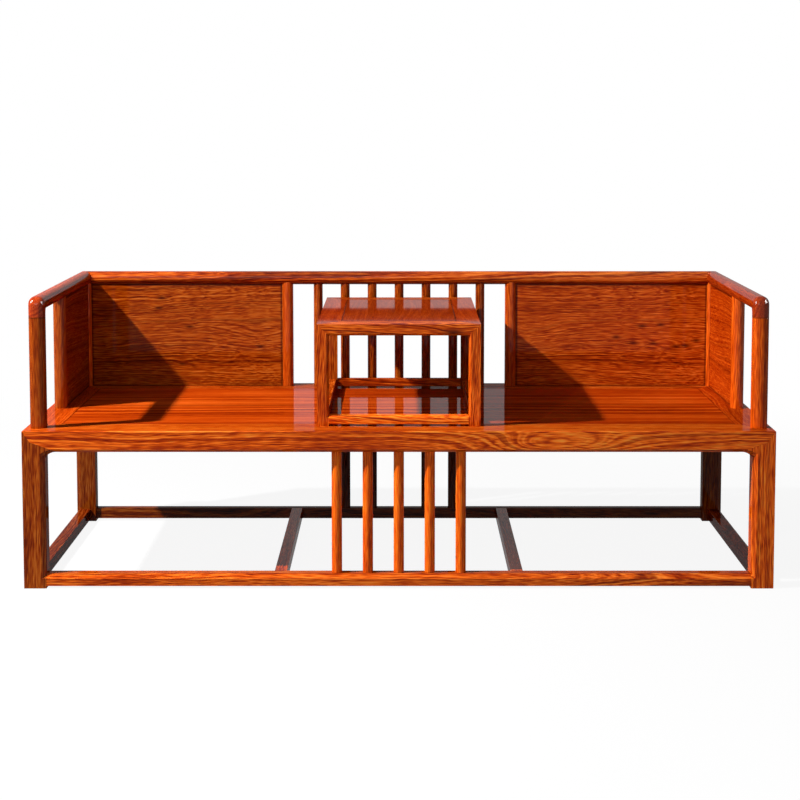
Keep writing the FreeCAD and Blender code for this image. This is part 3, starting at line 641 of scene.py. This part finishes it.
# %% Tones and figures
AMBER = (1.55, 1.50, 1.2)
HONEY = (1.30, 1.25, 1.1)
WARM = (1.08, 1.02, 0.95)
PLAIN = (0.80, 0.76, 0.8)
DEEP = (0.54, 0.58, 0.6)
RED = (0.82, 0.62, 0.6)
CHERRY = (0.60, 0.38, 0.5)
GARNET = (0.48, 0.32, 0.45)
PLUM_SHADE = (0.31, 0.26, 0.4)
UMBER_SHADE = (0.31, 0.34, 0.42)
LIVELY = Figure()
EVEN = Figure(waves=0.3)
STRAIGHT = Figure(rings=0.5, waves=0.1)
SMOOTH = Figure(rings=0.45, fibres=0.5, breadth=2.0, waves=0.5)
POLISHED = Figure(rings=0.35, fibres=0.6, breadth=1.3, waves=0.15)
CALM = Figure(rings=0.3, fibres=0.45, breadth=2.5, waves=0.5)
print("lightest tone", AMBER, "darkest tone", PLUM_SHADE)

# %% [markdown]
# Each timber is a board of its own, so no two have the same rings. Its pith is drawn at a distance and a
# direction from the middle of the timber, and its lean within a few hundredths of a radian. The draws
# come from one seeded source, so that every run gives the same boards. The seat and the back panels are
# looked at most, so their piths are given instead.

# %% Boards
PITH_NEAR = 0.05
PITH_FAR = 0.13
LEAN = 0.03
SEED = 11

boards = random.Random(SEED)
dressed = []


def across_the_grain(grain, turn):
    """An arrow of length one, square to the grain, at a turn round it."""
    arrow = [math.cos(turn), math.sin(turn)]
    arrow.insert("xyz".index(grain), 0.0)
    return Vector(arrow)


def dress(node_name, slot, grain, tone, lacquer=SATIN, figure=LIVELY, pith=None, lean=None, rim=None,
          seam_and_shade=no_seam):
    """Makes a node's eased piece and cuts it from a board of its own. The slot argument is not used."""
    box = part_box(node_name)
    reach = boards.uniform(PITH_NEAR, PITH_FAR)
    aside = across_the_grain(grain, boards.uniform(0, 2 * math.pi)) * reach
    drawn_lean = (boards.uniform(-LEAN, LEAN), boards.uniform(-LEAN, LEAN))
    lean = lean or drawn_lean
    centre = (box[0] + box[1]) / 2 + (aside if pith is None else Vector(pith))
    piece = eased(node_name, rim)
    material = rosewood(node_name, box, grain, tuple(centre), lean, tone, lacquer, figure, seam_and_shade)
    piece.data.materials.append(material)
    dressed.append(piece)
    return piece


# %% [markdown]
# The frame that carries everything: four legs and the seat rails, which meet at three-way mitred corners.
# Their shapes are true down to the joints, so they aren't modelled again, only eased and cut from a board.
# Grain runs along every timber, as a joiner would cut it, because wood is strong that way. The rails' top
# outer edge is rounded a little more than the rest, and shows as the bright line along the seat. The front
# rail is the one that is looked at, so its board is the best of the rails, with long arches on the right.

# %% Legs and seat rails
SEAT_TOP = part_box("seat_front_rail")[1].z
RAIL_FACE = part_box("seat_front_rail")[0].y
RAIL_ARCHES = Knot(middle=(0.43, RAIL_FACE, 0.39), spread=(0.16, 0.06, 0.030), lift=0.024)
# The rear left leg's umber tone is painted shade.
LEG_TONES = {
    "front_left_leg": DEEP,
    "front_right_leg": HONEY,
    "rear_left_leg": UMBER_SHADE,
    "rear_right_leg": DEEP,
}


def seat_rim(edge):
    """True for the outer top edge of the seat frame."""
    low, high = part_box("seat_front_rail")
    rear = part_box("seat_rear_rail")[1].y
    first, second = (vert.co for vert in edge.verts)
    level = min(first.z, second.z) > SEAT_TOP - WELD
    front = max(first.y, second.y) < low.y + WELD
    back = min(first.y, second.y) > rear - WELD
    left = max(first.x, second.x) < low.x + WELD
    right = min(first.x, second.x) > high.x - WELD
    return level and (front or back or left or right)


for node_name, tone in LEG_TONES.items():
    dress(node_name, "frame_wood", "z", tone, figure=STRAIGHT)
rail_figure = Figure(rings=0.9, fibres=0.9, breadth=1.2, waves=0.3, knots=[RAIL_ARCHES])
# Painted shade darkens the front rail's upper face, which the lamps light more than its front.
dress("seat_front_rail", "frame_wood", "x", HONEY, figure=rail_figure, rim=seat_rim, seam_and_shade=painted_top_shade)
dress("seat_rear_rail", "frame_wood", "x", PLAIN, rim=seat_rim)
for side in ("left", "right"):
    dress(f"seat_{side}_rail", "frame_wood", "y", RED, figure=SMOOTH, rim=seat_rim)
dress("seat_battens", "frame_wood", "y", PLAIN)
print("seat top at", round(SEAT_TOP, 4), "and timbers dressed:", len(dressed))

# %% [markdown]
# The seat itself is made to look like a single wide board, redder than its frame, its grain along the bed.
# Such a board is cut wide of the pith, which lies below it and towards the back. Its rings are broad and
# quiet, and its lacquer does most of the work.

# %% Seat panel
SEAT_PITH = (0, 0.3, -0.12)
SEAT_LEAN = (0.0, 0.01)
SEAT_HOUSED = 0.009

seat_figure = Figure(rings=0.75, fibres=0.35, breadth=7.0, waves=0.8)
seat_settings = {"pith": SEAT_PITH, "lean": SEAT_LEAN, "seam_and_shade": housed_edges("Z", SEAT_HOUSED)}
# The seat's red tone is partly painted shade: a top face that the lamps light more than the fronts is made
# darker.
seat = dress("seat_panel", "seat_panel_wood", "x", RED, GLOSS, seat_figure, **seat_settings)
print("seat panel faces:", len(seat.data.polygons))

# %% [markdown]
# Below the seat, four stretchers tie the legs near the floor, two more cross between the front and the
# rear one, and thin round spindles stand between the stretchers and the seat rails. The spindles in front
# are turned from the palest wood. The dark tones of the spindles at the back, the rear stretcher and the
# left stretcher are painted shade, and so is the darker upper face of the front stretcher.

# %% Stretchers and lower spindles
# The left stretcher's plum tone is painted shade.
STRETCHER_TONES = {"left": PLUM_SHADE, "right": CHERRY}
FRONT_SPINDLES = 5

# Painted shade darkens the front stretcher's upper face.
dress("front_stretcher", "stretcher_wood", "x", WARM, figure=EVEN, seam_and_shade=painted_top_shade)
dress("rear_stretcher", "stretcher_wood", "x", UMBER_SHADE, figure=EVEN)
for side, tone in STRETCHER_TONES.items():
    dress(side + "_stretcher", "stretcher_wood", "y", tone)
    dress(side + "_cross_stretcher", "stretcher_wood", "y", RED, GLOSS)
for number in range(1, FRONT_SPINDLES + 1):
    dress(f"front_spindle_{number}", "spindle_wood", "z", AMBER, figure=POLISHED)
dress("rear_spindles", "spindle_wood", "z", UMBER_SHADE, figure=STRAIGHT)
print("timbers dressed:", len(dressed))

# %% [markdown]
# The back and the arms have round-edged posts and rails. Those edges already come round, and lacquer draws
# a bright line down each of them. The back rail gets painted shade along its underside, and each front post
# ends in a fine dark joint under the elbow of its arm rail.

# %% Back and arm frame
ARM_POST_TONES = {"left": DEEP, "right": HONEY}
ELBOW_JOINT = joint_at(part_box("left_arm_rail")[0].z)
BACK_SPINDLES = 7

# The back rail's underside gets painted shade.
dress("back_top_rail", "back_frame_wood", "x", PLAIN, GLOSS, EVEN, seam_and_shade=painted_underside_shade)
for side, tone in ARM_POST_TONES.items():
    dress(side + "_arm_rail", "back_frame_wood", "y", CHERRY, RUBBED, POLISHED)
    dress(side + "_arm_front_post", "back_frame_wood", "z", tone, SATIN, POLISHED, seam_and_shade=ELBOW_JOINT)
    dress(side + "_arm_mid_post", "back_frame_wood", "z", tone, GLOSS, POLISHED)
    dress(side + "_rear_corner_post", "back_frame_wood", "z", WARM, GLOSS, POLISHED)
    dress(side + "_back_mid_post", "back_frame_wood", "z", PLAIN, GLOSS, POLISHED)
for number in range(1, BACK_SPINDLES + 1):
    dress(f"back_spindle_{number}", "spindle_wood", "z", DEEP, GLOSS, STRAIGHT)
print("timbers dressed:", len(dressed))

# %% [markdown]
# The panels of the back are the showpieces: a wavy figure with small dark knots, and a swirl near the
# inner end of each. Their places are given across the bed and above the floor, on the panel's face. The
# panels of the arms are seen at a slant, so a smooth board does for them.

# %% Panels
PANEL_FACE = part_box("left_back_panel")[0].y
PANEL_PITH = (0, 0.03, -0.22)
PANEL_HOUSED = 0.008
PANEL_TONES = {"left": DEEP, "right": PLAIN}
PANEL_RINGS = {"left": 0.8, "right": 0.6}
# The left arm panel's deep tone partly paints the shade on its inner face.
ARM_PANEL_TONES = {"left": DEEP, "right": RED}
KNOT_SPREAD = (0.030, 0.012, 0.012)
KNOT_LIFT = 0.010
KNOT_HEART = 0.9
KNOTS = {
    "left": ((-0.728, 0.697), (-0.737, 0.666), (-0.643, 0.608), (-0.667, 0.493), (-0.426, 0.547)),
    "right": (
        (0.745, 0.610), (0.803, 0.614), (0.667, 0.576), (0.720, 0.558),
        (0.780, 0.556), (0.852, 0.547), (0.881, 0.549), (0.913, 0.565),
    ),
}
SWIRL_SPREAD = (0.11, 0.05, 0.040)
SWIRL_LIFT = 0.035
SWIRLS = {"left": (-0.438, 0.584), "right": (0.397, 0.593)}

for side in ("left", "right"):
    knots = [Knot((x, PANEL_FACE, z), KNOT_SPREAD, KNOT_LIFT, KNOT_HEART) for x, z in KNOTS[side]]
    x, z = SWIRLS[side]
    knots.append(Knot((x, PANEL_FACE, z), SWIRL_SPREAD, SWIRL_LIFT))
    figure = Figure(rings=PANEL_RINGS[side], fibres=0.9, breadth=1.4, knots=knots)
    settings = {"figure": figure, "pith": PANEL_PITH, "seam_and_shade": housed_edges("Y", PANEL_HOUSED)}
    dress(side + "_back_panel", "back_panel_wood", "x", PANEL_TONES[side], **settings)
    settings = {"figure": SMOOTH, "seam_and_shade": housed_edges("X", PANEL_HOUSED)}
    dress(side + "_arm_panel", "back_panel_wood", "y", ARM_PANEL_TONES[side], **settings)
    print(side, "back panel knots:", len(KNOTS[side]))

# %% [markdown]
# The kang table repeats the bed's construction on a small scale: mitred rails over four legs, stretchers
# between the feet, and a panel in a groove. Its front rail has one knot. Its top is a calm board of a dark
# red, and is rubbed by use, as its side rails are.

# %% Kang table
TABLE_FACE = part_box("table_front_rail")[0].y
TABLE_KNOT = Knot(middle=(0.147, TABLE_FACE, 0.679), spread=(0.060, 0.02, 0.020), lift=0.010, heart=1.0)
TABLE_STRETCHER_TONES = {"front": AMBER, "rear": PLAIN}
TABLE_LEG_TONES = {"front": WARM, "rear": DEEP}
TABLE_HOUSED = 0.007

dress("table_front_rail", "table_wood", "x", WARM, figure=Figure(waves=0.3, knots=[TABLE_KNOT]))
dress("table_rear_rail", "table_wood", "x", PLAIN, figure=EVEN)
for end, tone in TABLE_STRETCHER_TONES.items():
    dress(f"table_{end}_stretcher", "table_wood", "x", tone, figure=EVEN)
for side in ("left", "right"):
    dress(f"table_{side}_rail", "table_wood", "y", CHERRY, RUBBED, CALM)
    dress(f"table_{side}_stretcher", "table_wood", "y", PLAIN)
for end, tone in TABLE_LEG_TONES.items():
    for side in ("left", "right"):
        dress(f"table_{end}_{side}_leg", "table_wood", "z", tone, figure=STRAIGHT)
dress("table_batten", "table_wood", "x", PLAIN)
table_seam = housed_edges("Z", TABLE_HOUSED)
# The top's garnet tone is partly painted shade, on a face that the lamps light from above.
dress("table_panel", "table_panel_wood", "y", GARNET, RUBBED, CALM, seam_and_shade=table_seam)
print("timbers dressed:", len(dressed), "of", len(frame["nodes"]))

# %% [markdown]
# Nothing here may change the size of the bed: easing an edge only takes wood away.

# %% Finish
bpy.context.view_layer.update()
